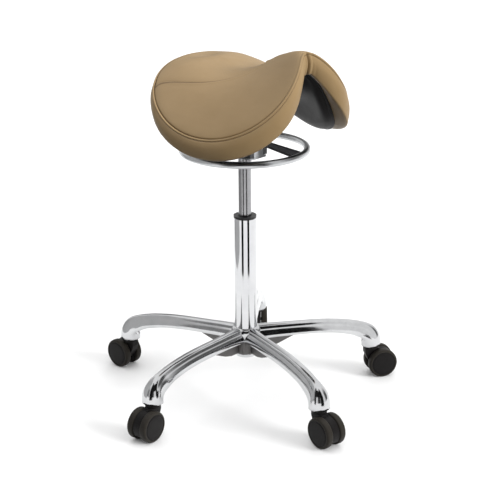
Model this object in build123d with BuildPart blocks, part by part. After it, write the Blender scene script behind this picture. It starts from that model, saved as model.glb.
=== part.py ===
"""Saddle stool on a gas lift: five-star base on twin-wheel castors, gas lift with a 360-degree lift ring,
and a tilting saddle seat. Millimetres, +Z up, +X towards the pommel, origin on the column axis at the floor."""

import os
from math import cos, exp, pi, radians, sin

from build123d import *

os.makedirs("parts", exist_ok=True)

# ---------------------------------------------------------------- driving dimensions
# castors
CASTOR_CIRCLE_R = 294.0  # column axis to castor pivot
WHEEL_R = 33.5
WHEEL_INNER = 9.7  # castor mid-plane to a wheel's inner face
WHEEL_OUTER = 24.9
CORE_R = 27.8
AXLE_R = 4.0
TRAIL = 23.7  # castor pivot to wheel axle
STEM_R = 5.5
SLEEVE_R = 7.5
RUNNING = 0.05  # radial clearance of a shaft that turns or slides in its bore
CASTOR_NECK_R = 16.0
CUP_BOTTOM = 76.0  # underside of a leg's castor socket
CUP_R = 22.5
LEG_COUNT = 5
FIRST_LEG = -16.3  # degrees from +X
TRAIL_TURNS = (6.6, 1.5, 5.0, -18.0, 4.9)  # each castor's trail, measured from its own leg's direction
STEM_BOTTOM = 48.0
STEM_H = 66.0
SLEEVE_H = 39.0
NECK_Z = 68.0
TYRE_ROUND = 3.5
CUP_H = 14.0

# star base
LEG_PATH = [(22, 138), (90, 138), (160, 137), (225, 130), (262, 120), (287, 104), (294, 77)]  # radius, height
LEG_SECTIONS = [  # place along the leg, half width, half height
    (0.0, 13, 15), (0.25, 14, 14), (0.5, 15, 13.5), (0.72, 17, 14.5), (0.88, 20, 18), (1.0, 22.5, 22.5),
]
LEG_FLARE = 0.22
RIB_OUTLINE = [(26, 94), (58, 95), (122, 126), (122, 132), (26, 132)]
RIB_HALF_T = 4.5
HUB_OUTLINE = [(0, 90), (27, 90), (28.5, 94), (30, 110), (32, 150), (28, 156), (0, 156)]

# column and gas lift
COLUMN_R = 25.0
COLUMN_BORE_R = 22.6
COLUMN_FOOT_R = 22.7
COLUMN_BOTTOM = 84.0
TAPER_TOP = 150.0
COLUMN_TOP = 407.0
FLOOR_T = 4.0  # the column's closed bottom
BUSH_BOTTOM = 325.0
TUBE_R = 14.0
TUBE_BORE_R = 12.0
TUBE_BOTTOM = 239.0
CONE_BOTTOM = 547.0
CONE_TOP = 598.0
CONE_TOP_R = 13.0
ROD_R = 5.0
PISTON_Z = 253.0
PISTON_H = 12.0
BUTTON_R = 4.0
BUTTON_TOP = 604.0
FLANGE_T = 4.5  # collar of the guide bush on top of the column
BEARING_H = 7.0
BEARING_R = 13.0
ROD_BOTTOM = 77.0
ROD_COLLAR_R = 9.0
ROD_COLLAR_H = 3.0
END_PLAY = 0.3
CLIP_T = 1.5
CLIP_R = 11.0
BUMP_R = 12.0
BUMP_H = 8.0
ROD_GUIDE_H = 11.0

# lift mechanism
BOSS_R = 24.0
NOSE_X = 41.0
NOSE_HALF = 14.0
NOSE_WALL = 5.0
HOUSING_FLOOR = 547.0
HOUSING_SHELF = 600.0
HOUSING_TOP = 630.0
HOUSING_HALF_Y = 28.0
HOUSING_BACK_X = -50.0
RING_R = 132.6
RING_TUBE_R = 7.4
RING_Z = 559.0
HUB_PLATE_Z = 573.0
HUB_PLATE_T = 6.0
HUB_PLATE_R = 56.0
RING_PIVOT_X = -38.0
SPOKE_COUNT = 3
FIRST_SPOKE = 15.0
SPOKE_INNER_HALF = 13.0
SPOKE_OUTER_HALF = 21.0
SPOKE_T = 3.5
FORK_INNER = 14.5
FORK_OUTER = 26.0
FORK_BOTTOM = 549.5
FORK_PIN_X = 30.0
FORK_PIN_Z = 576.0
PIN_R = 2.5
LEVER_PIVOT_X = 16.0
LEVER_PIVOT_Z = 612.0
LEVER_HALF = 5.0
TILT_EAR_R = 11.0
PIVOT_LUG_HALF_X = 6.0
PIVOT_LUG_HALF_Y = 8.0
FORK_FLANGE_T = 3.0

# seat bracket and tilt pin
TILT_Z = 640.0
TILT_PIN_R = 5.0
PLATE_Z = 668.0
PLATE_T = 4.0
PLATE_X = 76.0
PLATE_Y = 52.0
EAR_INNER = 28.5
EAR_T = 4.0
SCREW_X = 62.0
SCREW_Y = 38.0
SCREW_R = 3.0
SCREW_HEAD_R = 5.5
SCREW_HEAD_H = 3.0
SCREW_BOSS_R = 9.0

# saddle: every curve runs from the back of the rim (0) round one flap to the pommel (pi)
RIM_X = (45.0, -190.8, -32.7, 28.2)  # cosine terms of the outline
RIM_Y = (0.0, 182.4, 42.2, -13.7, -1.8)  # sine terms of the outline
RIM_Z = (705.6, -17.0, 68.1, -1.9, -8.5)  # cosine terms of the welt's height
BAND = (53.4, -15.0, 12.5, 1.4)  # cosine terms of the border band's height
BAND_TUCK = 38.0  # how far the band is drawn up under the pommel
TUCK_POWER = 14
SPINE_Z = (753.6, -12.6, 8.7, -2.9, -3.6)  # cosine terms of the height along the spine
SPINE_SHARE = 0.62  # length of the spine as a share of the outline's length
CROWN_POWER = (2.16, 0.19)  # fall from spine to rim, with its cosine term
CREST = 5.5  # fullness of the pommel between the spine's end and the rim
DISH = 9.0  # depth of the sitting hollow
DISH_X = -20.0
DISH_REACH = 75.0
FOAM = 42.0  # thickness along the spine
SHELL_GAP = 1.2
SHELL_T = 4.0
SHELL_RIM = 20.0  # how much deeper the shell is at its rim
SHELL_SHARE = 0.88
SHELL_END = 4.0  # the shell's last section stops this far inside its edge
STATIONS = (0, 40, 80, 115, 145, 168, 184, 195, 202)
FLAP_Y = 180.0  # beyond this the cushion's sections belong to the flap's tip
FLAP_TIP_Y = 190.0
FLAP_SLIM = 10.0


# ---------------------------------------------------------------- helpers
def terms(values, angle, wave=cos):
    return sum(value * wave(order * angle) for order, value in enumerate(values))


def bisect(test, low, high):
    for _ in range(50):
        middle = (low + high) / 2
        if test(middle):
            high = middle
        else:
            low = middle
    return (low + high) / 2


def write(part, name):
    part.label = name
    export_step(part, f"parts/{name}.step")


def polar(radius, degrees, z=0.0):
    return Vector(radius * cos(radians(degrees)), radius * sin(radians(degrees)), z)


# ---------------------------------------------------------------- saddle surfaces
RIM_BACK = terms(RIM_X, 0)
RIM_FRONT = terms(RIM_X, pi)
RIM_PEAK = bisect(lambda a: terms(RIM_Y, a, sin) > terms(RIM_Y, a + 0.01, sin), 0.8, 2.4)
RIM_HALF = terms(RIM_Y, RIM_PEAK, sin)


def spine_x(angle):
    middle = (RIM_BACK + RIM_FRONT) / 2
    return middle - SPINE_SHARE * (RIM_FRONT - RIM_BACK) / 2 * cos(angle)


def along_x(angle, share):
    return spine_x(angle) + (terms(RIM_X, angle) - spine_x(angle)) * share


def locate(x, y):
    """The rim angle and the share of the way from spine to rim of a point in plan."""
    reach = max(abs(y), 0.5)

    def share(angle):
        return reach / max(terms(RIM_Y, angle, sin), 0.01)

    start = bisect(lambda a: terms(RIM_Y, a, sin) > reach, 0, RIM_PEAK)
    end = bisect(lambda a: terms(RIM_Y, a, sin) < reach, RIM_PEAK, pi)
    angle = bisect(lambda a: along_x(a, share(a)) > x, start, end)
    return angle, min(share(angle), 1.0)


def top_z(angle, share):
    spine = terms(SPINE_Z, angle)
    power = CROWN_POWER[0] + CROWN_POWER[1] * cos(angle)
    crest = CREST * 4 * share * (1 - share) * ((1 - cos(angle)) / 2) ** 3
    away_x = (along_x(angle, share) - DISH_X) / DISH_REACH
    away_y = terms(RIM_Y, angle, sin) * share / DISH_REACH
    return spine - (spine - terms(RIM_Z, angle)) * share**power + crest - DISH * exp(-away_x**2 - away_y**2)


def band_h(angle):
    return terms(BAND, angle) - BAND_TUCK * ((1 - cos(angle)) / 2) ** TUCK_POWER


def pad_t(angle, share):
    return FOAM + (band_h(angle) - FOAM) * share**2


def under_z(x, y):
    angle, share = locate(x, y)
    return top_z(angle, share) - pad_t(angle, share)


def chord(y, share):
    """Back and front ends, as rim angles, of the line at y that stays within a share of the rim."""
    reach = max(abs(y), 0.5) / share
    back = bisect(lambda a: terms(RIM_Y, a, sin) > reach, 0, RIM_PEAK)
    front = bisect(lambda a: terms(RIM_Y, a, sin) < reach, RIM_PEAK, pi)
    return back, front


def layer_points(y, share, drop, count=13):
    """Points from back to front at y, drop(angle, share) below the seat's top."""
    back, front = chord(y, share)
    x_back = along_x(back, share)
    x_front = along_x(front, share)
    points = []
    for step in range(count):
        x = x_back + (x_front - x_back) * step / (count - 1)
        angle, part = locate(x, y)
        points.append((x, top_z(angle, part) - drop(angle, part)))
    return points


def cushion_outline(y):
    """Top, front, underside and back of the cushion's section at y; the slim last section rounds the flap."""
    share = 0.965 if abs(y) < FLAP_Y else 0.985
    slim = FLAP_SLIM if abs(y) > FLAP_TIP_Y else 0.0
    top = layer_points(y, share, lambda angle, part: slim)
    under = layer_points(y, share, lambda angle, part: pad_t(angle, part) - slim)
    back, front = chord(y, 1.0)
    back_point = (terms(RIM_X, back), (top[0][1] + under[0][1]) / 2)
    front_point = (terms(RIM_X, front), (top[-1][1] + under[-1][1]) / 2)
    return top, front_point, under[::-1], back_point


def shell_drop(angle, share):
    return pad_t(angle, share) + SHELL_GAP + SHELL_T + SHELL_RIM * (share / SHELL_SHARE) ** 3


def shell_outline(y):
    """Top and underside of the shell's section at y; the shell deepens towards its rim."""
    top = layer_points(y, SHELL_SHARE, lambda angle, part: pad_t(angle, part) + SHELL_GAP)
    return top, layer_points(y, SHELL_SHARE, shell_drop)[::-1]


stations = [-y for y in reversed(STATIONS[1:])] + list(STATIONS)

with BuildPart() as seat_cushion:
    for y in stations:
        top, front_point, under, back_point = cushion_outline(y)
        with BuildSketch(Plane.XZ.offset(-y)):
            with BuildLine():
                Spline(*top)
                ThreePointArc(top[-1], front_point, under[0])
                Spline(*under)
                ThreePointArc(under[-1], back_point, top[0])
            make_face()
    loft()
write(seat_cushion.part, "seat_cushion")

screw_spots = [(SCREW_X, SCREW_Y), (-SCREW_X, SCREW_Y), (SCREW_X, -SCREW_Y), (-SCREW_X, -SCREW_Y)]
shell_end = RIM_HALF * SHELL_SHARE - SHELL_END
shell_stations = [-shell_end] + [y for y in stations if abs(y) < shell_end - SHELL_END] + [shell_end]
with BuildPart() as seat_shell:
    for y in shell_stations:
        top, under = shell_outline(y)
        with BuildSketch(Plane.XZ.offset(-y)):
            with BuildLine():
                Spline(*top)
                Line(top[-1], under[0])
                Spline(*under)
                Line(under[-1], top[0])
            make_face()
    loft()
    for x, y in screw_spots:
        boss_top = under_z(x, y) - SHELL_GAP - SHELL_T / 2
        with BuildSketch(Plane.XY.offset(PLATE_Z + PLATE_T)):
            with Locations((x, y)):
                Circle(SCREW_BOSS_R)
        extrude(amount=boss_top - PLATE_Z - PLATE_T)
write(seat_shell.part, "seat_shell")

# ---------------------------------------------------------------- star base
leg_angles = [FIRST_LEG + 360 / LEG_COUNT * leg for leg in range(LEG_COUNT)]


def leg_section(half_width, half_height, round_share):
    """Closed section of a leg: round on top, and wider and squarer below."""
    points = []
    for step in range(12):
        turn = 2 * pi * step / 12
        flare = 1 + LEG_FLARE * (1 - round_share) * max(0.0, -sin(turn))
        points.append((half_width * flare * cos(turn), half_height * sin(turn)))
    return points


with BuildPart() as star_base:
    for angle in leg_angles:
        side = Plane(origin=(0, 0, 0), x_dir=polar(1, angle), z_dir=polar(1, angle - 90))
        with BuildLine(side, mode=Mode.PRIVATE) as path:
            Spline(*LEG_PATH, tangents=[(1, 0.1), (0.05, -1)])
        course = path.edges()[0]
        for share, half_width, half_height in LEG_SECTIONS:
            across = Plane(origin=course @ share, x_dir=polar(1, angle - 90), z_dir=course % share)
            with BuildSketch(across):
                with BuildLine():
                    Spline(*leg_section(half_width, half_height, share), periodic=True)
                make_face()
        loft()
        with BuildSketch(side):  # the cast rib under the leg
            with BuildLine():
                Polyline(*RIB_OUTLINE, close=True)
            make_face()
        extrude(amount=RIB_HALF_T, both=True)
        with BuildSketch(Plane(origin=polar(CASTOR_CIRCLE_R, angle, CUP_BOTTOM))):
            Circle(CUP_R)
        extrude(amount=CUP_H)
    with BuildSketch(Plane.XZ):  # hub
        with BuildLine():
            Polyline(*HUB_OUTLINE, close=True)
        make_face()
    revolve(axis=Axis.Z)
    with BuildSketch(Plane.XZ):  # taper bore for the column
        with BuildLine():
            Polyline(
                (0, 50), (COLUMN_FOOT_R, 50), (COLUMN_FOOT_R, COLUMN_BOTTOM), (COLUMN_R, TAPER_TOP),
                (COLUMN_R, 170), (0, 170), close=True,
            )
        make_face()
    revolve(axis=Axis.Z, mode=Mode.SUBTRACT)
    with PolarLocations(CASTOR_CIRCLE_R, LEG_COUNT, start_angle=FIRST_LEG):
        with Locations((0, 0, CUP_BOTTOM)):
            Cylinder(SLEEVE_R, 40, align=(Align.CENTER, Align.CENTER, Align.MIN), mode=Mode.SUBTRACT)
write(star_base.part, "star_base")

with BuildPart() as stem_sleeves:
    with BuildSketch(Plane.XY.offset(CUP_BOTTOM + 1)):
        with PolarLocations(CASTOR_CIRCLE_R, LEG_COUNT, start_angle=FIRST_LEG):
            Circle(SLEEVE_R)
            Circle(STEM_R, mode=Mode.SUBTRACT)
    extrude(amount=SLEEVE_H)
write(stem_sleeves.part, "stem_sleeves")

with BuildPart() as castor_stems:
    with BuildSketch(Plane.XY.offset(STEM_BOTTOM)):
        with PolarLocations(CASTOR_CIRCLE_R, LEG_COUNT, start_angle=FIRST_LEG):
            Circle(STEM_R)
    extrude(amount=STEM_H)
    top_rims = castor_stems.edges().filter_by(GeomType.CIRCLE).group_by(Axis.Z)[-1]
    chamfer(top_rims, length=1)
write(castor_stems.part, "castor_stems")

# ---------------------------------------------------------------- column
with BuildPart() as column_tube:
    with BuildSketch(Plane.XZ):
        with BuildLine():
            Polyline(
                (ROD_R + RUNNING, COLUMN_BOTTOM), (COLUMN_FOOT_R, COLUMN_BOTTOM), (COLUMN_R, TAPER_TOP),
                (COLUMN_R, COLUMN_TOP - 1), (COLUMN_R - 1, COLUMN_TOP), (COLUMN_BORE_R, COLUMN_TOP),
                (COLUMN_BORE_R, TAPER_TOP + 20), (COLUMN_FOOT_R - 2.5, COLUMN_BOTTOM + 30),
                (COLUMN_FOOT_R - 2.5, COLUMN_BOTTOM + FLOOR_T), (ROD_R + RUNNING, COLUMN_BOTTOM + FLOOR_T),
                close=True,
            )
        make_face()
    revolve(axis=Axis.Z)
write(column_tube.part, "column_tube")

with BuildPart() as guide_bush:
    with BuildSketch(Plane.XY.offset(BUSH_BOTTOM)):
        Circle(COLUMN_BORE_R)
        Circle(TUBE_R + RUNNING, mode=Mode.SUBTRACT)
    extrude(amount=COLUMN_TOP - BUSH_BOTTOM)
    with BuildSketch(Plane.XY.offset(COLUMN_TOP)):
        Circle(COLUMN_R)
        Circle(TUBE_R + RUNNING, mode=Mode.SUBTRACT)
    extrude(amount=FLANGE_T)
    chamfer(guide_bush.faces().sort_by(Axis.Z)[-1].inner_wires().edges(), length=1.5)
write(guide_bush.part, "guide_bush")

BEARING_TOP = COLUMN_BOTTOM + FLOOR_T + BEARING_H
with BuildPart() as thrust_bearing:
    with BuildSketch(Plane.XY.offset(COLUMN_BOTTOM + FLOOR_T)):
        Circle(BEARING_R)
        Circle(ROD_R + RUNNING, mode=Mode.SUBTRACT)
    extrude(amount=BEARING_H)
    with BuildSketch(Plane.XY.offset(COLUMN_BOTTOM + FLOOR_T + BEARING_H / 2 - 1)):  # gap between its washers
        Circle(BEARING_R + 1)
        Circle(BEARING_R - 1.5, mode=Mode.SUBTRACT)
    extrude(amount=2, mode=Mode.SUBTRACT)
write(thrust_bearing.part, "thrust_bearing")

# ---------------------------------------------------------------- piston rod (turns with the seat, does not rise)
CLIP_TOP = COLUMN_BOTTOM - END_PLAY
COLLAR_Z = BEARING_TOP + END_PLAY
with BuildPart() as piston_rod:
    with BuildSketch(Plane.XZ):
        with BuildLine():
            Polyline(
                (0, ROD_BOTTOM), (ROD_R - 1, ROD_BOTTOM), (ROD_R, ROD_BOTTOM + 1), (ROD_R, CLIP_TOP - CLIP_T),
                (ROD_R - 1, CLIP_TOP - CLIP_T), (ROD_R - 1, CLIP_TOP), (ROD_R, CLIP_TOP), (ROD_R, COLLAR_Z),
                (ROD_COLLAR_R, COLLAR_Z), (ROD_COLLAR_R, COLLAR_Z + ROD_COLLAR_H), (ROD_R, COLLAR_Z + ROD_COLLAR_H),
                (ROD_R, PISTON_Z + PISTON_H), (0, PISTON_Z + PISTON_H), close=True,
            )
        make_face()
    revolve(axis=Axis.Z)
write(piston_rod.part, "piston_rod")

with BuildPart() as retaining_clip:
    with BuildSketch(Plane.XY.offset(CLIP_TOP - CLIP_T)):
        Circle(CLIP_R)
        Circle(ROD_R - 1, mode=Mode.SUBTRACT)
        with Locations((CLIP_R - ROD_R / 2, 0)):  # the clip's mouth
            Rectangle(2 * ROD_R, 3, mode=Mode.SUBTRACT)
    extrude(amount=CLIP_T)
write(retaining_clip.part, "retaining_clip")

with BuildPart() as bump_stop:
    with BuildSketch(Plane.XY.offset(COLLAR_Z + ROD_COLLAR_H)):
        Circle(BUMP_R)
        Circle(ROD_R, mode=Mode.SUBTRACT)
    extrude(amount=BUMP_H)
    chamfer(bump_stop.faces().sort_by(Axis.Z)[-1].outer_wire().edges(), length=2)
write(bump_stop.part, "bump_stop")

with BuildPart() as piston:
    with BuildSketch(Plane.XZ):
        with BuildLine():
            Polyline(
                (ROD_R, PISTON_Z), (TUBE_BORE_R - RUNNING, PISTON_Z), (TUBE_BORE_R - RUNNING, PISTON_Z + 4),
                (TUBE_BORE_R - 2, PISTON_Z + 5), (TUBE_BORE_R - 2, PISTON_Z + 7),
                (TUBE_BORE_R - RUNNING, PISTON_Z + 8), (TUBE_BORE_R - RUNNING, PISTON_Z + PISTON_H),
                (ROD_R, PISTON_Z + PISTON_H), close=True,
            )
        make_face()
    revolve(axis=Axis.Z)
write(piston.part, "piston")

# ---------------------------------------------------------------- pressure tube (turns and rises)
with BuildPart() as pressure_tube:
    with BuildSketch(Plane.XZ):
        with BuildLine():
            Polyline(
                (TUBE_BORE_R, TUBE_BOTTOM), (TUBE_R - 1, TUBE_BOTTOM), (TUBE_R, TUBE_BOTTOM + 1),
                (TUBE_R, CONE_BOTTOM), (CONE_TOP_R, CONE_TOP), (BUTTON_R + RUNNING, CONE_TOP),
                (BUTTON_R + RUNNING, CONE_BOTTOM - 10), (TUBE_BORE_R, CONE_BOTTOM - 10), close=True,
            )
        make_face()
    revolve(axis=Axis.Z)
write(pressure_tube.part, "pressure_tube")

with BuildPart() as rod_guide:
    with BuildSketch(Plane.XY.offset(TUBE_BOTTOM)):
        Circle(TUBE_BORE_R)
        Circle(ROD_R + RUNNING, mode=Mode.SUBTRACT)
    extrude(amount=ROD_GUIDE_H)
write(rod_guide.part, "rod_guide")

with BuildPart() as release_button:
    with BuildSketch(Plane.XZ):
        with BuildLine():
            Polyline(
                (0, CONE_BOTTOM - 4), (BUTTON_R, CONE_BOTTOM - 4), (BUTTON_R, BUTTON_TOP - 1),
                (BUTTON_R - 1, BUTTON_TOP), (0, BUTTON_TOP), close=True,
            )
        make_face()
    revolve(axis=Axis.Z)
write(release_button.part, "release_button")

# ---------------------------------------------------------------- mechanism housing
with BuildPart() as mechanism_housing:
    with BuildSketch(Plane.XY.offset(HOUSING_FLOOR)):  # boss on the lift's cone, with its nose
        Circle(BOSS_R)
        with Locations((NOSE_X / 2, 0)):
            Rectangle(NOSE_X, 2 * NOSE_HALF)
    extrude(amount=HOUSING_SHELF - HOUSING_FLOOR)
    with BuildSketch(Plane.XY.offset(HOUSING_FLOOR - FORK_FLANGE_T)):  # floor flange below the fork
        with Locations((NOSE_X / 2, 0)):
            RectangleRounded(NOSE_X, 2 * FORK_OUTER, 4)
    extrude(amount=FORK_FLANGE_T)
    with BuildSketch(Plane.XY.offset(HOUSING_SHELF)):  # upper body
        with Locations(((NOSE_X + HOUSING_BACK_X) / 2, 0)):
            RectangleRounded(NOSE_X - HOUSING_BACK_X, 2 * HOUSING_HALF_Y, 6)
    extrude(amount=HOUSING_TOP - HOUSING_SHELF)
    with BuildSketch(Plane.XZ):  # ears of the tilt pin
        with Locations((0, TILT_Z)):
            Circle(TILT_EAR_R)
        with Locations((0, (HOUSING_TOP + TILT_Z) / 2)):
            Rectangle(2 * TILT_EAR_R, TILT_Z - HOUSING_TOP)
    extrude(amount=HOUSING_HALF_Y, both=True)
    with BuildSketch(Plane.XZ):  # lugs of the ring's pivot
        with BuildLine():
            Polyline(
                (RING_PIVOT_X - PIVOT_LUG_HALF_X, HOUSING_SHELF),
                (RING_PIVOT_X - PIVOT_LUG_HALF_X, HUB_PLATE_Z - 2),
                (RING_PIVOT_X + PIVOT_LUG_HALF_X, HUB_PLATE_Z - 2),
                (RING_PIVOT_X + PIVOT_LUG_HALF_X, HOUSING_SHELF), close=True,
            )
        make_face()
    extrude(amount=PIVOT_LUG_HALF_Y, both=True)
    with BuildSketch(Plane.XZ):  # bore for the tilt pin and the ring's pivot pin
        with Locations((0, TILT_Z)):
            Circle(TILT_PIN_R + RUNNING)
        with Locations((RING_PIVOT_X, FORK_PIN_Z)):
            Circle(PIN_R + RUNNING)
        with Locations((LEVER_PIVOT_X, LEVER_PIVOT_Z)):
            Circle(PIN_R)
    extrude(amount=HOUSING_HALF_Y, both=True, mode=Mode.SUBTRACT)
    with BuildSketch(Plane.XZ):  # taper socket and its passage to the lever
        with BuildLine():
            Polyline(
                (0, HOUSING_FLOOR - 5), (TUBE_R, HOUSING_FLOOR - 5), (TUBE_R, CONE_BOTTOM),
                (CONE_TOP_R, CONE_TOP), (CONE_TOP_R, HOUSING_SHELF), (0, HOUSING_SHELF), close=True,
            )
        make_face()
    revolve(axis=Axis.Z, mode=Mode.SUBTRACT)
    with BuildSketch(Plane.XZ):  # chamber of the release lever, open at the top of the cone
        with BuildLine():
            Polyline(
                (-9, HOUSING_SHELF - 0.5), (19, HOUSING_SHELF - 0.5), (19, HUB_PLATE_Z - 4),
                (NOSE_X - 3, HUB_PLATE_Z - 4), (NOSE_X - 3, LEVER_PIVOT_Z + 10), (-9, LEVER_PIVOT_Z + 10),
                close=True,
            )
        make_face()
    extrude(amount=LEVER_HALF + 1.5, both=True, mode=Mode.SUBTRACT)
    with BuildSketch(Plane.XZ):  # slots where the ring's fork pin crosses the nose
        with Locations((FORK_PIN_X, FORK_PIN_Z + 1)):
            Rectangle(2 * PIN_R + 3, 2 * PIN_R + 5)
    extrude(amount=NOSE_HALF + 1, both=True, mode=Mode.SUBTRACT)
write(mechanism_housing.part, "mechanism_housing")


def cross_pin(x, z, radius, half_length):
    with BuildPart() as pin:
        with BuildSketch(Plane.XZ):
            with Locations((x, z)):
                Circle(radius)
        extrude(amount=half_length, both=True)
        chamfer(pin.edges().filter_by(GeomType.CIRCLE), length=radius / 5)
    return pin.part


write(cross_pin(LEVER_PIVOT_X, LEVER_PIVOT_Z, PIN_R, HOUSING_HALF_Y), "lever_pin")
write(cross_pin(RING_PIVOT_X, FORK_PIN_Z, PIN_R, 20), "ring_pivot_pin")
write(cross_pin(FORK_PIN_X, FORK_PIN_Z, PIN_R, FORK_OUTER), "fork_pin")
write(cross_pin(0, TILT_Z, TILT_PIN_R, EAR_INNER + EAR_T + 4), "tilt_pin")

with BuildPart() as release_lever:
    with BuildSketch(Plane.XZ):
        with BuildLine():
            Polyline(
                (-5, BUTTON_TOP + 0.5), (6, BUTTON_TOP + 0.5), (10, LEVER_PIVOT_Z - 6), (22, LEVER_PIVOT_Z - 5),
                (27, LEVER_PIVOT_Z - 12), (27, FORK_PIN_Z + PIN_R + 0.3), (33, FORK_PIN_Z + PIN_R + 0.3),
                (33, LEVER_PIVOT_Z - 6), (26, LEVER_PIVOT_Z + 5), (10, LEVER_PIVOT_Z + 6), (-5, BUTTON_TOP + 6),
                close=True,
            )
        make_face()
        with Locations((LEVER_PIVOT_X, LEVER_PIVOT_Z)):
            Circle(PIN_R + RUNNING, mode=Mode.SUBTRACT)
    extrude(amount=LEVER_HALF, both=True)
write(release_lever.part, "release_lever")

# ---------------------------------------------------------------- lift ring
with BuildPart() as lift_ring:
    with BuildSketch(Plane.XZ):
        with Locations((RING_R, RING_Z)):
            Circle(RING_TUBE_R)
    revolve(axis=Axis.Z)
write(lift_ring.part, "lift_ring")

SPOKE_TIP_R = RING_R - RING_TUBE_R + 1.0
with BuildPart() as ring_spider:
    with BuildSketch(Plane.XY.offset(HUB_PLATE_Z)):  # plate round the boss and the nose
        Circle(HUB_PLATE_R)
        Circle(BOSS_R + 2, mode=Mode.SUBTRACT)
        with Locations((NOSE_X / 2 + 1, 0)):
            Rectangle(NOSE_X + 2, 2 * FORK_INNER, mode=Mode.SUBTRACT)
        with Locations((RING_PIVOT_X, 0)):
            Rectangle(2 * PIVOT_LUG_HALF_X + 3, 2 * PIVOT_LUG_HALF_Y + 2, mode=Mode.SUBTRACT)
    extrude(amount=HUB_PLATE_T)
    for side_sign in (1, -1):  # fork either side of the nose
        with BuildSketch(Plane.XY.offset(FORK_BOTTOM)):
            with Locations((NOSE_X / 2 + 14, side_sign * (FORK_INNER + FORK_OUTER) / 2)):
                Rectangle(13, FORK_OUTER - FORK_INNER)
        extrude(amount=HUB_PLATE_Z - FORK_BOTTOM)
    for spoke in range(SPOKE_COUNT):
        angle = FIRST_SPOKE + 360 / SPOKE_COUNT * spoke
        inner = polar(HUB_PLATE_R - 8, angle, HUB_PLATE_Z)
        outer = polar(SPOKE_TIP_R, angle, RING_Z - SPOKE_T / 2)
        slope = Plane(origin=inner, x_dir=outer - inner, z_dir=(outer - inner).cross(polar(1, angle - 90)))
        length = (outer - inner).length
        with BuildSketch(slope):
            with BuildLine():
                Polyline(
                    (0, -SPOKE_INNER_HALF), (length, -SPOKE_OUTER_HALF), (length, SPOKE_OUTER_HALF),
                    (0, SPOKE_INNER_HALF), close=True,
                )
            make_face()
        extrude(amount=SPOKE_T if slope.z_dir.Z > 0 else -SPOKE_T)
    with BuildSketch(Plane.XZ):  # eyes for the pivot pin and the fork pin
        with Locations((RING_PIVOT_X, FORK_PIN_Z)):
            Circle(PIN_R)
        with Locations((FORK_PIN_X, FORK_PIN_Z)):
            Circle(PIN_R)
    extrude(amount=HUB_PLATE_R, both=True, mode=Mode.SUBTRACT)
    with BuildSketch(Plane.XZ):  # clear of the ring's tube
        with Locations((RING_R, RING_Z)):
            Circle(RING_TUBE_R)
    revolve(axis=Axis.Z, mode=Mode.SUBTRACT)
write(ring_spider.part, "ring_spider")

# ---------------------------------------------------------------- seat bracket
with BuildPart() as seat_bracket:
    with BuildSketch(Plane.XY.offset(PLATE_Z)):
        RectangleRounded(2 * PLATE_X, 2 * PLATE_Y, 8)
        with Locations(*screw_spots):
            Circle(SCREW_R, mode=Mode.SUBTRACT)
    extrude(amount=PLATE_T)
    for side_sign in (1, -1):
        with BuildSketch(Plane.XZ.offset(-side_sign * (EAR_INNER + EAR_T / 2))):
            with BuildLine():
                Polyline(
                    (-34, PLATE_Z), (-12, TILT_Z - 12), (12, TILT_Z - 12), (34, PLATE_Z), close=True,
                )
            make_face()
            with Locations((0, TILT_Z)):
                Circle(TILT_PIN_R, mode=Mode.SUBTRACT)
        extrude(amount=EAR_T / 2, both=True)
write(seat_bracket.part, "seat_bracket")

with BuildPart() as bracket_screws:
    with BuildSketch(Plane.XY.offset(PLATE_Z - SCREW_HEAD_H)):
        with Locations(*screw_spots):
            Circle(SCREW_HEAD_R)
    extrude(amount=SCREW_HEAD_H)
    with BuildSketch(Plane.XY.offset(PLATE_Z)):
        with Locations(*screw_spots):
            Circle(SCREW_R)
    extrude(amount=PLATE_T)
write(bracket_screws.part, "bracket_screws")


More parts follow.
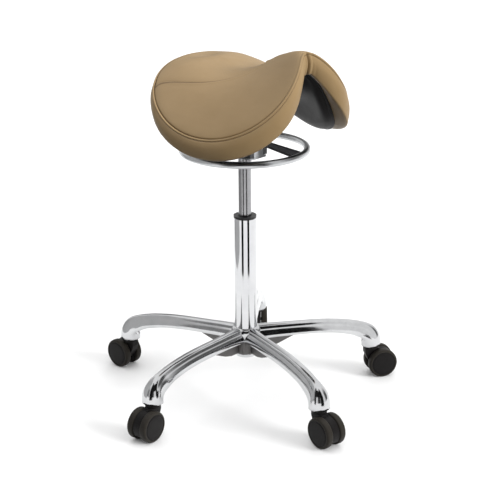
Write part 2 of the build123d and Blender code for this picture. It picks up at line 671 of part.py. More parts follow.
# ---------------------------------------------------------------- castors
def castor(number, pivot, heading):
    """Hooded body, axle, two wheel cores and two tyres of one twin-wheel castor."""
    trail = polar(1, heading)
    side = Plane(origin=pivot, x_dir=trail, z_dir=polar(1, heading - 90))
    hub = (TRAIL, WHEEL_R)

    with BuildPart() as body:
        with BuildSketch(side):
            with Locations(hub):
                Circle(WHEEL_R - 2.5)
            with BuildLine():
                Polyline(
                    (-CASTOR_NECK_R, NECK_Z + 0.5), (-CASTOR_NECK_R, 62), (-9, 40), (0, 24), (TRAIL, 40),
                    (TRAIL, NECK_Z + 0.5),
                    close=True,
                )
            make_face()
            with Locations((TRAIL, 3)):
                Rectangle(80, 22, mode=Mode.SUBTRACT)
        extrude(amount=WHEEL_INNER - 0.6, both=True)
        with BuildSketch(Plane(origin=pivot + Vector(0, 0, NECK_Z))):
            Circle(CASTOR_NECK_R)
        extrude(amount=CUP_BOTTOM - NECK_Z - 0.5)
        with BuildSketch(Plane(origin=pivot + Vector(0, 0, 46))):
            Circle(STEM_R + RUNNING)
        extrude(amount=40, mode=Mode.SUBTRACT)
        with BuildSketch(side):
            with Locations(hub):
                Circle(AXLE_R)
        extrude(amount=20, both=True, mode=Mode.SUBTRACT)
    write(body.part, f"castor_body_{number}")

    with BuildPart() as axle:
        with BuildSketch(side):
            with Locations(hub):
                Circle(AXLE_R)
        extrude(amount=WHEEL_OUTER - 4.0, both=True)
    write(axle.part, f"castor_axle_{number}")

    for letter, sign in (("a", 1), ("b", -1)):
        with BuildPart() as core:
            with BuildSketch(side.offset(sign * WHEEL_INNER)):
                with Locations(hub):
                    Circle(CORE_R)
            extrude(amount=sign * (WHEEL_OUTER - WHEEL_INNER))
            with BuildSketch(side.offset(sign * (WHEEL_INNER + 2))):
                with Locations(hub):
                    Circle(CORE_R - 3.5)
                    Circle(9, mode=Mode.SUBTRACT)
            extrude(amount=-sign * 4, mode=Mode.SUBTRACT)
            with BuildSketch(side.offset(sign * WHEEL_INNER)):
                with Locations(hub):
                    Circle(CORE_R - 3.5)
                    Circle(9, mode=Mode.SUBTRACT)
            extrude(amount=sign * 11, mode=Mode.SUBTRACT)
            with BuildSketch(side.offset(sign * (WHEEL_INNER - 1))):
                with Locations(hub):
                    Circle(AXLE_R + RUNNING)
            extrude(amount=sign * (WHEEL_OUTER - WHEEL_INNER - 2.5), mode=Mode.SUBTRACT)
        write(core.part, f"wheel_core_{number}{letter}")

        with BuildPart() as tyre:
            with BuildSketch(side.offset(sign * WHEEL_INNER)):
                with Locations(hub):
                    Circle(WHEEL_R)
                    Circle(CORE_R, mode=Mode.SUBTRACT)
            extrude(amount=sign * (WHEEL_OUTER - WHEEL_INNER))
            rims = tyre.edges().filter_by(GeomType.CIRCLE).filter_by(lambda e: e.radius > WHEEL_R - 0.1)
            fillet(rims, radius=TYRE_ROUND)
        write(tyre.part, f"tyre_{number}{letter}")


for number, (angle, turn) in enumerate(zip(leg_angles, TRAIL_TURNS), start=1):
    castor(number, polar(CASTOR_CIRCLE_R, angle), angle + turn)
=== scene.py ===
"""Saddle stool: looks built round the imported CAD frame. Metres, +Z up, +X towards the pommel."""

import bmesh
import bpy
import numpy as np
from math import cos, pi, radians, sin
from mathutils import Matrix, Vector, noise


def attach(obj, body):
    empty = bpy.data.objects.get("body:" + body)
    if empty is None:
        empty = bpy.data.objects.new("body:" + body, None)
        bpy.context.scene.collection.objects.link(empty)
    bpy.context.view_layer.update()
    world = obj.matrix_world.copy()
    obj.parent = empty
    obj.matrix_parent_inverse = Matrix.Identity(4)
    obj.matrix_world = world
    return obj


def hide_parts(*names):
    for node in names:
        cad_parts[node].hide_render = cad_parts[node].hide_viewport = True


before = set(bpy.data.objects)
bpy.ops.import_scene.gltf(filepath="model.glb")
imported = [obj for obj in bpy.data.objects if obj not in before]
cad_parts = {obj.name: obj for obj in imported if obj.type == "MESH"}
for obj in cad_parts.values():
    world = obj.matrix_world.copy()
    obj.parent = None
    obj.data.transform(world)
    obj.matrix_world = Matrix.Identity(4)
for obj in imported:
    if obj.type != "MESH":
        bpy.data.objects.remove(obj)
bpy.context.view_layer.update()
MM = 0.001

# ---------------------------------------------------------------- sizes that the CAD states, in millimetres
CASTOR_CIRCLE_R = 294.0
FIRST_LEG = -16.3
TRAIL_TURNS = (6.6, 1.5, 5.0, -18.0, 4.9)
TRAIL = 23.7
WHEEL_R = 33.5
WHEEL_INNER = 9.7
CORE_R = 27.8
FIRST_SPOKE = 15.0
SPOKE_ROOT = 48.0
SPOKE_TOP = 576.5  # top of a spoke at its root
SPOKE_FALL = 0.2014
CUP_R = 22.5

# saddle: every curve runs from the back of the rim (0) round one flap to the pommel (pi)
RIM_X = (45.0, -190.8, -32.7, 28.2)  # cosine terms of the outline
RIM_Y = (0.0, 182.4, 42.2, -13.7, -1.8)  # sine terms of the outline
RIM_Z = (705.6, -17.0, 68.1, -1.9, -8.5)  # cosine terms of the welt's height
BAND = (53.4, -15.0, 12.5, 1.4)  # cosine terms of the border band's height
BAND_TUCK = 38.0  # how far the band is drawn up under the pommel
TUCK_POWER = 14
SPINE_Z = (753.6, -12.6, 8.7, -2.9, -3.6)  # cosine terms of the height along the spine
SPINE_SHARE = 0.62
WELT_INSET = 7.5  # how far the welt lies inside the outline
HEM_INSET = 3.4
CREST_FALL = (2.16, 0.19)
CREST = 5.5
DISH = 9.0
DISH_X = -20.0
DISH_REACH = 75.0
FOAM = 42.0
BACK_FILL = 5.5  # fullness behind the spine's back end
STITCH_DOWN = 7.0  # welt to stitch line
SEAM_START = 0.787  # rim angle where a panel seam starts
SEAM_BEND = (-0.07, 3.32, -1.92)  # how the rim angle changes along it towards the spine
STEM_END = 126.0  # the seams' common stem fades out here, along X


# ---------------------------------------------------------------- mesh helpers
def link(name, mesh):
    piece = bpy.data.objects.new(name, mesh)
    bpy.context.scene.collection.objects.link(piece)
    return piece


def new_piece(name, points, faces, smooth=True):
    mesh = bpy.data.meshes.new(name)
    mesh.from_pydata([tuple(p) for p in points], [], faces)
    mesh.validate()
    mesh.update()
    if smooth:
        mesh.shade_smooth()
    return link(name, mesh)


def settle(piece, body, material, slot, *nodes):
    """Finish a piece: its material, the body it rides on and the CAD nodes it stands for. The slot is not
    used.
    """
    if not piece.data.materials:
        piece.data.materials.append(material)
    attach(piece, body)
    if nodes:
        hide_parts(*nodes)
    return piece


def bevelled(piece, width, segments=3, angle=35):
    bevel = piece.modifiers.new("edges", "BEVEL")
    bevel.width = width
    bevel.segments = segments
    bevel.limit_method = "ANGLE"
    bevel.angle_limit = radians(angle)
    bevel.harden_normals = True
    return piece


def sheet_faces(rows, columns, closed_rows=False, closed_columns=False):
    """Faces of a net of points, row after row."""
    faces = []
    for r in range(rows if closed_rows else rows - 1):
        near, far = r * columns, (r + 1) % rows * columns
        for c in range(columns if closed_columns else columns - 1):
            c2 = (c + 1) % columns
            faces.append((near + c, near + c2, far + c2, far + c))
    return faces


def lathe(profile, origin, axis, segments=72):
    """Points and faces of (radius, rise along the axis) turned round an axis; millimetres in, metres out."""
    axis = Vector(axis).normalized()
    side = axis.orthogonal().normalized()
    up = axis.cross(side)
    points = []
    for step in range(segments):
        turn = 2 * pi * step / segments
        out = side * cos(turn) + up * sin(turn)
        for radius, rise in profile:
            points.append((Vector(origin) + out * radius + axis * rise) * MM)
    return points, sheet_faces(segments, len(profile), closed_rows=True)


def prism(outline, half_width, to_world):
    """A flat outline made thick; to_world turns (x, y, sideways) into a point in millimetres."""
    count = len(outline)
    points = [to_world(x, y, side * half_width) * MM for side in (-1, 1) for x, y in outline]
    faces = [tuple(range(count))[::-1], tuple(range(count, 2 * count))]
    faces += [(k, (k + 1) % count, count + (k + 1) % count, count + k) for k in range(count)]
    return points, faces


def joined(name, parts, smooth=True):
    points, faces = [], []
    for part_points, part_faces in parts:
        first = len(points)
        points += list(part_points)
        faces += [tuple(first + k for k in face) for face in part_faces]
    piece = new_piece(name, points, faces, smooth)
    mesh = bmesh.new()
    mesh.from_mesh(piece.data)
    bmesh.ops.remove_doubles(mesh, verts=mesh.verts, dist=1e-6)
    bmesh.ops.recalc_face_normals(mesh, faces=mesh.faces)
    mesh.to_mesh(piece.data)
    mesh.free()
    return piece


def polar(radius, degrees, z=0.0):
    return Vector((radius * cos(radians(degrees)), radius * sin(radians(degrees)), z))


def upright(degrees):
    """Turns (radius, height, sideways) into a point in the upright plane at an angle round the column."""
    radial, sideways = polar(1, degrees), polar(1, degrees + 90)
    return lambda radius, height, side: radial * radius + sideways * side + Vector((0, 0, height))


def run_lengths(line):
    """Distance along a polyline to each of its points."""
    return np.concatenate([[0], np.cumsum(np.linalg.norm(np.diff(line, axis=0), axis=1))])


MIRROR = np.array([1.0, -1.0, 1.0])


def mirrored(half):
    """Rows from the back round one side to the front, carried on round the other side."""
    return np.concatenate([half, half[-2:0:-1] * MIRROR])


# ---------------------------------------------------------------- materials
class Nodes:
    """A material's node tree, with short calls to add and join nodes."""

    def __init__(self, name):
        self.material = bpy.data.materials.new(name)
        self.material.use_nodes = True
        self.tree = self.material.node_tree
        self.shader = self.tree.nodes["Principled BSDF"]
        self.place = self.add("ShaderNodeTexCoord").outputs["Object"]

    def add(self, kind, **values):
        node = self.tree.nodes.new(kind)
        for key, value in values.items():
            if key in node.inputs:
                node.inputs[key].default_value = value
            else:
                setattr(node, key, value)
        return node

    def join(self, start, end):
        self.tree.links.new(start, end)

    def noise(self, scale, detail=3.0, roughness=0.5, stretch=None):
        node = self.add("ShaderNodeTexNoise", Scale=scale, Detail=detail, Roughness=roughness)
        place = self.place
        if stretch:
            mapping = self.add("ShaderNodeMapping", Scale=stretch)
            self.join(self.place, mapping.inputs["Vector"])
            place = mapping.outputs["Vector"]
        self.join(place, node.inputs["Vector"])
        return node.outputs["Fac"]

    def ramp(self, source, low, high, start=0.3, end=0.7):
        node = self.add("ShaderNodeValToRGB")
        node.color_ramp.elements[0].position = start
        node.color_ramp.elements[0].color = low
        node.color_ramp.elements[1].position = end
        node.color_ramp.elements[1].color = high
        self.join(source, node.inputs["Fac"])
        return node.outputs["Color"]

    def span(self, source, low, high):
        node = self.add("ShaderNodeMapRange")
        node.inputs["To Min"].default_value = low
        node.inputs["To Max"].default_value = high
        self.join(source, node.inputs["Value"])
        return node.outputs["Result"]

    def bump(self, source, strength, distance, below=None):
        node = self.add("ShaderNodeBump", Strength=strength, Distance=distance)
        self.join(source, node.inputs["Height"])
        if below:
            self.join(below, node.inputs["Normal"])
        return node.outputs["Normal"]

    def finish(self, **values):
        for key, value in values.items():
            self.shader.inputs[key.replace("_", " ")].default_value = value
        return self.material


def leather(name, low, high):
    m = Nodes(name)
    m.join(m.ramp(m.noise(9.0, 4.0), low, high), m.shader.inputs["Base Color"])
    cells = m.add("ShaderNodeTexVoronoi", Scale=620.0, feature="DISTANCE_TO_EDGE")
    m.join(m.place, cells.inputs["Vector"])
    grain = m.bump(cells.outputs["Distance"], 0.22, 0.0006)
    fine = m.bump(m.noise(900.0, 2.0), 0.12, 0.0004, grain)
    folds = m.bump(m.noise(34.0, 3.0, 0.55), 0.10, 0.004, fine)
    m.join(folds, m.shader.inputs["Normal"])
    m.join(m.span(m.noise(60.0, 3.0), 0.44, 0.56), m.shader.inputs["Roughness"])
    return m.finish(Specular_IOR_Level=0.34)


def thread():
    m = Nodes("waxed_thread")
    colour = m.ramp(m.noise(400.0), (0.20, 0.135, 0.075, 1), (0.34, 0.24, 0.145, 1))
    m.join(colour, m.shader.inputs["Base Color"])
    twist = m.add("ShaderNodeTexWave", Scale=900.0)
    m.join(m.place, twist.inputs["Vector"])
    m.join(m.bump(twist.outputs["Fac"], 0.4, 0.0002), m.shader.inputs["Normal"])
    return m.finish(Roughness=0.6)


def metal(name, low, high, rough, scale, bump, stretch=None, distance=0.0002):
    m = Nodes(name)
    pattern = m.noise(scale, 4.0, 0.6, stretch)
    m.join(m.ramp(pattern, low, high), m.shader.inputs["Base Color"])
    m.join(m.span(pattern, *rough), m.shader.inputs["Roughness"])
    m.join(m.bump(pattern, bump, distance), m.shader.inputs["Normal"])
    return m.finish(Metallic=1.0)


def plastic(name, low, high, rough, scale, bump, distance=0.0003, level=0.4):
    m = Nodes(name)
    pattern = m.noise(scale, 4.0, 0.6)
    m.join(m.ramp(pattern, low, high), m.shader.inputs["Base Color"])
    m.join(m.span(m.noise(scale / 12, 3.0), *rough), m.shader.inputs["Roughness"])
    m.join(m.bump(pattern, bump, distance), m.shader.inputs["Normal"])
    return m.finish(Specular_IOR_Level=level)


LEATHER = leather("tan_leather", (0.280, 0.188, 0.090, 1), (0.328, 0.224, 0.113, 1))
# painted shade: near-black leather in the welt groove and the panel seams, standing in for the shade inside
# those grooves
GROOVE_SHADE = leather("leather_groove_painted_shade", (0.055, 0.032, 0.014, 1), (0.085, 0.052, 0.024, 1))
# painted shade: darker leather along the stitch lines, standing in for the shade in the stitched grooves
STITCH_SHADE = leather("leather_stitch_line_painted_shade", (0.15, 0.095, 0.045, 1), (0.20, 0.13, 0.065, 1))
THREAD = thread()
CHROME = metal("bright_chrome", (0.62, 0.625, 0.64, 1), (0.70, 0.705, 0.715, 1), (0.05, 0.09), 30, 0.01)
POLISHED = metal(
    "polished_aluminium", (0.58, 0.585, 0.595, 1), (0.66, 0.665, 0.675, 1),
    (0.08, 0.15), 45, 0.02,
)
CAST = metal(
    "cast_aluminium", (0.13, 0.125, 0.125, 1), (0.19, 0.185, 0.18, 1),
    (0.42, 0.6), 700, 0.35,
)
SATIN = metal(
    "satin_steel", (0.50, 0.51, 0.52, 1), (0.58, 0.59, 0.60, 1),
    (0.24, 0.34), 500, 0.03,
)
GAS_ROD = metal(
    "hard_chrome", (0.30, 0.30, 0.31, 1), (0.36, 0.36, 0.37, 1),
    (0.16, 0.24), 60, 0.02,
)
STEEL = metal("ground_steel", (0.45, 0.46, 0.47, 1), (0.56, 0.57, 0.58, 1), (0.28, 0.4), 300, 0.05)
ZINC = metal("zinc_plate", (0.46, 0.47, 0.48, 1), (0.58, 0.585, 0.57, 1), (0.34, 0.5), 120, 0.06)
HOUSING = plastic(
    "housing_grey", (0.60, 0.61, 0.63, 1), (0.68, 0.69, 0.71, 1),
    (0.3, 0.42), 500, 0.12, level=0.5,
)
DARK = plastic(
    "charcoal_paint", (0.022, 0.022, 0.024, 1), (0.045, 0.045, 0.048, 1),
    (0.3, 0.42), 900, 0.15,
)
SHELL = plastic(
    "charcoal_shell", (0.010, 0.009, 0.0095, 1), (0.017, 0.015, 0.0155, 1),
    (0.42, 0.52), 1100, 0.2, level=0.12,
)
BLACK = plastic(
    "black_acetal", (0.010, 0.010, 0.011, 1), (0.020, 0.020, 0.021, 1),
    (0.25, 0.35), 600, 0.08,
)
NYLON = plastic(
    "castor_nylon", (0.007, 0.0062, 0.0062, 1), (0.012, 0.011, 0.011, 1),
    (0.42, 0.52), 1300, 0.25, level=0.14,
)
TREAD = plastic(
    "soft_tread", (0.020, 0.0175, 0.0145, 1), (0.030, 0.0265, 0.022, 1),
    (0.42, 0.55), 900, 0.2, level=0.16,
)
RUBBER = plastic(
    "black_rubber", (0.012, 0.012, 0.012, 1), (0.022, 0.022, 0.022, 1),
    (0.55, 0.7), 700, 0.3,
)

CAD_LOOKS = {
    "column_tube": CHROME, "pressure_tube": GAS_ROD, "guide_bush": BLACK, "lift_ring": SATIN,
    "ring_spider": DARK, "mechanism_housing": HOUSING, "seat_bracket": ZINC, "bracket_screws": ZINC,
    "release_lever": DARK, "bump_stop": RUBBER, "stem_sleeves": BLACK, "rod_guide": BLACK,
}
for node_name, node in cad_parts.items():
    node.data.materials.clear()
    node.data.materials.append(CAD_LOOKS.get(node_name, STEEL))


# ---------------------------------------------------------------- saddle
def terms(values, angle, wave=np.cos):
    return sum(value * wave(order * angle) for order, value in enumerate(values))


def slope(values, angle, wave):
    """Slope of terms(): sine terms when wave is cos, cosine terms when wave is sin."""
    sign = 1 if wave is np.sin else -1
    other = np.cos if wave is np.sin else np.sin
    return sum(sign * order * value * other(order * angle) for order, value in enumerate(values))


RIM_BACK = terms(RIM_X, 0.0)
RIM_FRONT = terms(RIM_X, pi)
MIDDLE_X = (RIM_BACK + RIM_FRONT) / 2
SPINE_HALF = SPINE_SHARE * (RIM_FRONT - RIM_BACK) / 2


def band_height(angle):
    return terms(BAND, angle) - BAND_TUCK * ((1 - np.cos(angle)) / 2) ** TUCK_POWER


def pad_depth(angle, share):
    return FOAM + (band_height(angle) - FOAM) * share**2


def rim(angle):
    """Outline point, outward direction in plan and band height for an array of rim angles."""
    x, y, z = terms(RIM_X, angle), terms(RIM_Y, angle, np.sin), terms(RIM_Z, angle)
    along_x, along_y = slope(RIM_X, angle, np.cos), slope(RIM_Y, angle, np.sin)
    size = np.maximum(np.hypot(along_x, along_y), 1e-9)
    return x, y, z, -along_y / size, along_x / size, band_height(angle)


def top_point(angle, share):
    """The seat's top, as (x, y, z) arrays; share runs from the spine (0) to the welt (1)."""
    x, y, z, out_x, out_y, _ = rim(angle)
    spine_x = MIDDLE_X - SPINE_HALF * np.cos(angle)
    spine_z = terms(SPINE_Z, angle)
    power = CREST_FALL[0] + CREST_FALL[1] * np.cos(angle)
    edge_x, edge_y = x - out_x * WELT_INSET, y - out_y * WELT_INSET
    at_x, at_y = spine_x + (edge_x - spine_x) * share, edge_y * share
    crest = CREST * 4 * share * (1 - share) * ((1 - np.cos(angle)) / 2) ** 3
    hollow = DISH * np.exp(-(((at_x - DISH_X) / DISH_REACH) ** 2) - (at_y / DISH_REACH) ** 2)
    fill = BACK_FILL * ((1 + np.cos(angle)) / 2) ** 6 * (1 - share) ** 2
    return at_x, at_y, spine_z - (spine_z - z) * share**power + crest + fill - hollow


def spread(length, near, far, growth=1.25, both=False):
    """Steps from 0 to 1 over a length, fine near 0 (and near 1 if both)."""
    steps, size = [0.0], near
    limit = length / 2 if both else length
    while steps[-1] < limit:
        steps.append(steps[-1] + size)
        size = min(size * growth, far)
    steps = np.array(steps)
    steps = steps / steps[-1]
    if both:
        steps = np.concatenate([steps / 2, 1 - steps[::-1][1:] / 2])
    return steps


COARSE = 3.2
FINE = 0.7


def seam_angle(share):
    t = 1 - share
    return SEAM_START + sum(bend * t ** (order + 1) for order, bend in enumerate(SEAM_BEND))


def saddle_grid():
    """Columns of (x, y, z, rim angle) from the spine to the welt, the panel seam's row, and the shares."""
    back = spread(220, FINE, COARSE)[::-1]
    front = spread(330, FINE, COARSE, both=True)
    shares = spread(230, FINE, COARSE, both=True)
    columns = []
    for share in shares:
        turn = seam_angle(share)
        angles = np.concatenate([turn * (1 - back), (turn + (pi - turn) * front)[1:]])
        columns.append(np.stack(top_point(angles, share) + (angles,), -1))
    return columns, len(back) - 1, shares


columns, seam_row, shares = saddle_grid()
angles = columns[-1][:, 3]
x, y, z, out_x, out_y, band = rim(angles)  # read by the functions below, one value per row


def band_point(share):
    inset = np.where(share < 0.5, WELT_INSET * (1 - 2 * share) ** 2, HEM_INSET * (2 * share - 1) ** 2)
    return np.stack([x - out_x * inset, y - out_y * inset, z - band * share], -1)


def under_point(inset, lift):
    return np.stack([x - out_x * inset, y - out_y * inset, z - band + lift], -1)


# the leather turned under the edge: distance inside the outline, height above the band's lower edge
ROLL = (
    (4.6, -1.4), (6.6, -2.4), (9.5, -3.1), (13.5, -3.2), (18.0, -2.5), (22.5, -1.2), (27.0, 0.5), (31.0, 2.0),
    (33.5, 3.6), (35.0, 6.5),
)


def beneath(inset, lift, inward, drop):
    """Points from a line near the hem (inward 0) to under the spine (1), drop(share) below the seat's top."""
    start = under_point(inset, lift)
    spine_x = MIDDLE_X - SPINE_HALF * np.cos(angles)
    reach = 1 - (inset - WELT_INSET) / np.hypot(x - spine_x, y)
    share = reach * (1 - inward)
    _, _, top = top_point(angles, share)
    blend = min(inward / 0.35, 1.0)
    blend = blend**2 * (3 - 2 * blend)
    height = start[:, 2] * (1 - blend) + (top - drop(share)) * blend
    return np.stack([start[:, 0] + (spine_x - start[:, 0]) * inward, start[:, 1] * (1 - inward), height], -1)


profile = [column[:, :3] for column in columns]
WELT = len(profile) - 1
BAND_STEPS = (0.7, 1.4, 2.2, 3.3, 4.5, 5.6, 6.3, STITCH_DOWN, 7.7, 8.4, 9.4, 11.0, 13.5, 17.0)  # millimetres
TALL_BAND = 56.0  # the band's height that those steps are shares of
STITCH_COLUMN = WELT + 1 + BAND_STEPS.index(STITCH_DOWN)
band_shares = np.concatenate([np.array(BAND_STEPS) / TALL_BAND, np.linspace(0.37, 1, 12)])
profile += [band_point(share) for share in band_shares]
HEM = len(profile) - 1
for inset, lift in ROLL:
    profile.append(under_point(inset, lift))
grid = np.stack(profile, 1)  # rows x columns x 3


def both_sides(grid):
    """Mirror the half grid into a closed ring of rows and give the points and faces of the whole skin."""
    rows, count, _ = grid.shape
    ring = mirrored(grid)
    spine = ring[:rows, 0]
    outer = ring[:, 1:]
    width = count - 1
    points = np.concatenate([spine, outer.reshape(-1, 3)])
    total = len(ring)
    at_spine = [min(r, total - r) for r in range(total)]
    faces = []
    for r in range(total):
        r2 = (r + 1) % total
        first, second = rows + r * width, rows + r2 * width
        faces.append((at_spine[r], first, second, at_spine[r2]))
        for c in range(width - 1):
            faces.append((first + c, first + c + 1, second + c + 1, second + c))
    return points, [tuple(dict.fromkeys(face)) for face in faces], rows, width


def row_of(index, rows, width):
    """Row in the ring and column of a point by its index in both_sides()."""
    inside = index < rows
    return np.where(inside, index, (index - rows) // width), np.where(inside, 0, (index - rows) % width + 1)


def nearest(points, line):
    """Distance from each point to a polyline, and where along it the nearest point is."""
    best = np.full(len(points), 1e9)
    place = np.zeros(len(points))
    lengths = run_lengths(line)
    for k in range(len(line) - 1):
        step = line[k + 1] - line[k]
        share = np.clip(((points - line[k]) @ step) / (step @ step), 0, 1)
        gap = np.linalg.norm(points - line[k] - share[:, None] * step, axis=1)
        closer = gap < best
        best[closer] = gap[closer]
        place[closer] = lengths[k] + share[closer] * np.linalg.norm(step)
    return best, place, lengths[-1]


points, faces, rows, width = both_sides(grid)
# close the underside with its own columns, back to the line under the spine
rest_rows = 2 * rows - 2
under_first = len(points)
UNDER = 9
under_half = []
for k in range(1, UNDER + 1):
    under_half.append(beneath(*ROLL[-1], k / UNDER, lambda share: pad_depth(angles, share)))
under_half = np.stack(under_half, 1)
under_spine = under_half[:, -1]
under_points = mirrored(under_half)[:, :-1]
points = np.concatenate([points, under_points.reshape(-1, 3), under_spine])
spine_first = under_first + under_points.shape[0] * under_points.shape[1]
for r in range(rest_rows):
    r2 = (r + 1) % rest_rows
    a, b = rows + r * width + width - 1, rows + r2 * width + width - 1
    first, second = under_first + r * (UNDER - 1), under_first + r2 * (UNDER - 1)
    faces.append((a, first, second, b))
    for c in range(UNDER - 2):
        faces.append((first + c, first + c + 1, second + c + 1, second + c))
    s1, s2 = spine_first + min(r, rest_rows - r), spine_first + min(r2, rest_rows - r2)
    faces.append(tuple(dict.fromkeys((first + UNDER - 2, s1, s2, second + UNDER - 2))))

cover = new_piece("saddle_cover", points * MM, faces)
bm = bmesh.new()
bm.from_mesh(cover.data)
bmesh.ops.recalc_face_normals(bm, faces=bm.faces)
bm.to_mesh(cover.data)
bm.free()
normals = np.zeros(len(points) * 3)
cover.data.vertex_normals.foreach_get("vector", normals)
normals = normals.reshape(-1, 3)

# seam lines on the skin before it is shaped: the welt, the stitch line beside it, and the panel seams
welt_line = grid[:, WELT]
stitch_line = band_point(STITCH_DOWN / TALL_BAND)
seam_line = np.array([grid[seam_row, c] for c in range(WELT, -1, -1)])
stem = [p for p in grid[:, 0] if seam_line[-1][0] < p[0]]
front_rows = [grid[-1, c] for c in range(1, WELT) if grid[-1, c][0] < STEM_END]
stem_line = np.array([seam_line[-1]] + stem + front_rows)


def groove(distance, depth, half):
    return -depth * np.exp(-((distance / half) ** 2))


def ridge(distance, height, half):
    return height * np.exp(-((distance / half) ** 2))


# depth or height, then half width, of each groove and ridge in the leather
WELT_GROOVE = (2.3, 1.25)
STITCH_GROOVE = (1.3, 0.9)
SEAM_GROOVE = (1.5, 1.2)
TOPSTITCH_GROOVE = (0.7, 0.9)
TOPSTITCH_AHEAD = 3.8  # distance ahead of the seam
LAP_RIDGE = (1.1, 4.5)  # the side panel laps over the seam
LAP_AHEAD = 4.0
STEM_GROOVE = (1.5, 1.4)
STEM_RIDGE = (0.7, 2.6)
STEM_RIDGE_AWAY = 4.0
PLEAT_GROOVE = (5.5, 2.6)
PLEAT_RIDGE = (1.6, 3.2)
PLEAT_RIDGE_AWAY = 6.0
PLEAT_FROM = 120.0  # the pleat under the pommel lies ahead of this, along X
GATHERS = ((10.5, 1.5, 2.2, 1), (17.0, 0.9, 2.8, 2))  # distance from the pleat, groove, power of the fall

# how far the leather is drawn down beside a seam, and the distance over which that eases off
WELT_DRAW = (1.6, 5.0)
SEAT_DRAW = (2.2, 12.0)
STRIP = 7.0  # width of the rounded strip between the welt and its stitches
STRIP_FULL = 1.2  # how far that strip stands out
SEAM_EASE = 6.0  # length over which a seam starts at the welt
STEM_FADE = (0.55, 0.45)  # share of the stem where it starts to fade, and over how much of it
UNEVEN = 0.45  # height of the slow waves in stretched leather
LONG_WAVE = 46.0
SHORT_WAVE = 19.0  # half as high as the long one


def draw(distance, depth, ease):
    return -depth * np.exp(-distance / ease)


def waves(point):
    return noise.noise(Vector(point) / LONG_WAVE) + 0.5 * noise.noise(Vector(point) / SHORT_WAVE)


index = np.arange(len(points))
row, column = row_of(index, rows, width)
on_skin = index < under_first
side = np.where(points[:, 1] >= 0, 1.0, -1.0)
folded = points * np.stack([np.ones(len(points)), side, np.ones(len(points))], -1)
push = np.zeros(len(points))

to_welt, _, _ = nearest(folded, welt_line)
to_stitch, _, _ = nearest(folded, stitch_line)
to_seam, seam_place, seam_length = nearest(folded, seam_line)
to_stem, stem_place, stem_length = nearest(folded, stem_line)
on_top = on_skin & (column <= WELT)
on_band = on_skin & (column > WELT)

push += groove(to_welt, *WELT_GROOVE)
push += np.where(on_top, draw(to_welt, *WELT_DRAW), 0.0)
push += np.where(on_band, groove(to_stitch, *STITCH_GROOVE), 0.0)
strip = on_band & (to_stitch < STRIP) & (to_welt < STRIP)
push += np.where(strip, STRIP_FULL * np.sin(np.clip(to_welt / STRIP, 0, 1) * pi) ** 0.7, 0.0)

half_row = np.where(row <= rows - 1, row, rest_rows - row)
ahead = half_row >= seam_row  # the side panel lies ahead of its seam, the seat panel behind it
fade = np.clip(seam_place / SEAM_EASE, 0, 1)
lap = ridge(to_seam - LAP_AHEAD, *LAP_RIDGE) + groove(to_seam - TOPSTITCH_AHEAD, *TOPSTITCH_GROOVE)
push += np.where(on_top, fade * (np.where(ahead, lap, 0.0) + groove(to_seam, *SEAM_GROOVE)), 0.0)
push += np.where(on_top & ~ahead, fade * draw(to_seam, *SEAT_DRAW), 0.0)
ending = 1 - np.clip((stem_place / stem_length - STEM_FADE[0]) / STEM_FADE[1], 0, 1)
push += np.where(on_top, ending * groove(to_stem, *STEM_GROOVE), 0.0)
push += np.where(on_top, ending * ridge(to_stem - STEM_RIDGE_AWAY, *STEM_RIDGE), 0.0)

# the tuck at the front: the band is gathered on the centre line under the pommel
fall = np.clip((column - WELT) / (HEM - WELT), 0, 1)
from_middle = np.abs(points[:, 1])
in_front = on_band & (points[:, 0] > PLEAT_FROM)
tuck = np.where(in_front, np.sin(np.clip(fall * 1.15, 0, 1) * pi * 0.5) ** 0.5, 0.0)
push += tuck * groove(from_middle, *PLEAT_GROOVE)
push += tuck * ridge(from_middle - PLEAT_RIDGE_AWAY, *PLEAT_RIDGE)
for away, depth, half, power in GATHERS:
    push += tuck * groove(from_middle - away, depth, half) * fall**power

slow = np.array([waves(p) for p in points])
push += np.where(on_skin, UNEVEN * slow, 0.0)
points = points + normals * push[:, None]
cover.data.vertices.foreach_set("co", (points * MM).ravel())
cover.data.update()
IN_GROOVE_SHADE, ON_STITCH_SHADE = 1, 2  # places in the list of materials that follows: painted shade in the grooves, then painted shade along the stitch lines
for skin in (LEATHER, GROOVE_SHADE, STITCH_SHADE):
    cover.data.materials.append(skin)
looks = np.zeros(len(cover.data.polygons), dtype=np.int32)
by_row = looks[: rest_rows * width].reshape(rest_rows, width)  # a face per row and column, in the order made
# painted shade in the welt groove
by_row[:, WELT - 1 : WELT + 1] = IN_GROOVE_SHADE
# painted shade along the band's stitch line
by_row[:, STITCH_COLUMN - 1 : STITCH_COLUMN + 1] = ON_STITCH_SHADE
# painted shade in the panel seams
for seam in (seam_row, rest_rows - seam_row):
    by_row[seam - 2 : seam + 2, : WELT - 1] = IN_GROOVE_SHADE
# painted shade along the topstitch lines ahead of the panel seams
for first in (seam_row + 3, rest_rows - seam_row - 5):
    by_row[first : first + 2, : WELT - 1] = ON_STITCH_SHADE
cover.data.polygons.foreach_set("material_index", looks)
settle(cover, "seat", LEATHER, "leather", "seat_cushion")


# ---------------------------------------------------------------- stitches
def on_line(line, lengths, distance):
    return np.array([np.interp(distance, lengths, line[:, axis]) for axis in range(3)])


def walk(line, spacing, stop, start=0.0):
    """Evenly spaced points of a polyline, each with the direction onwards."""
    lengths = run_lengths(line)
    for distance in np.arange(start, stop, spacing):
        at = on_line(line, lengths, distance)
        yield at, on_line(line, lengths, distance + 1.0) - at


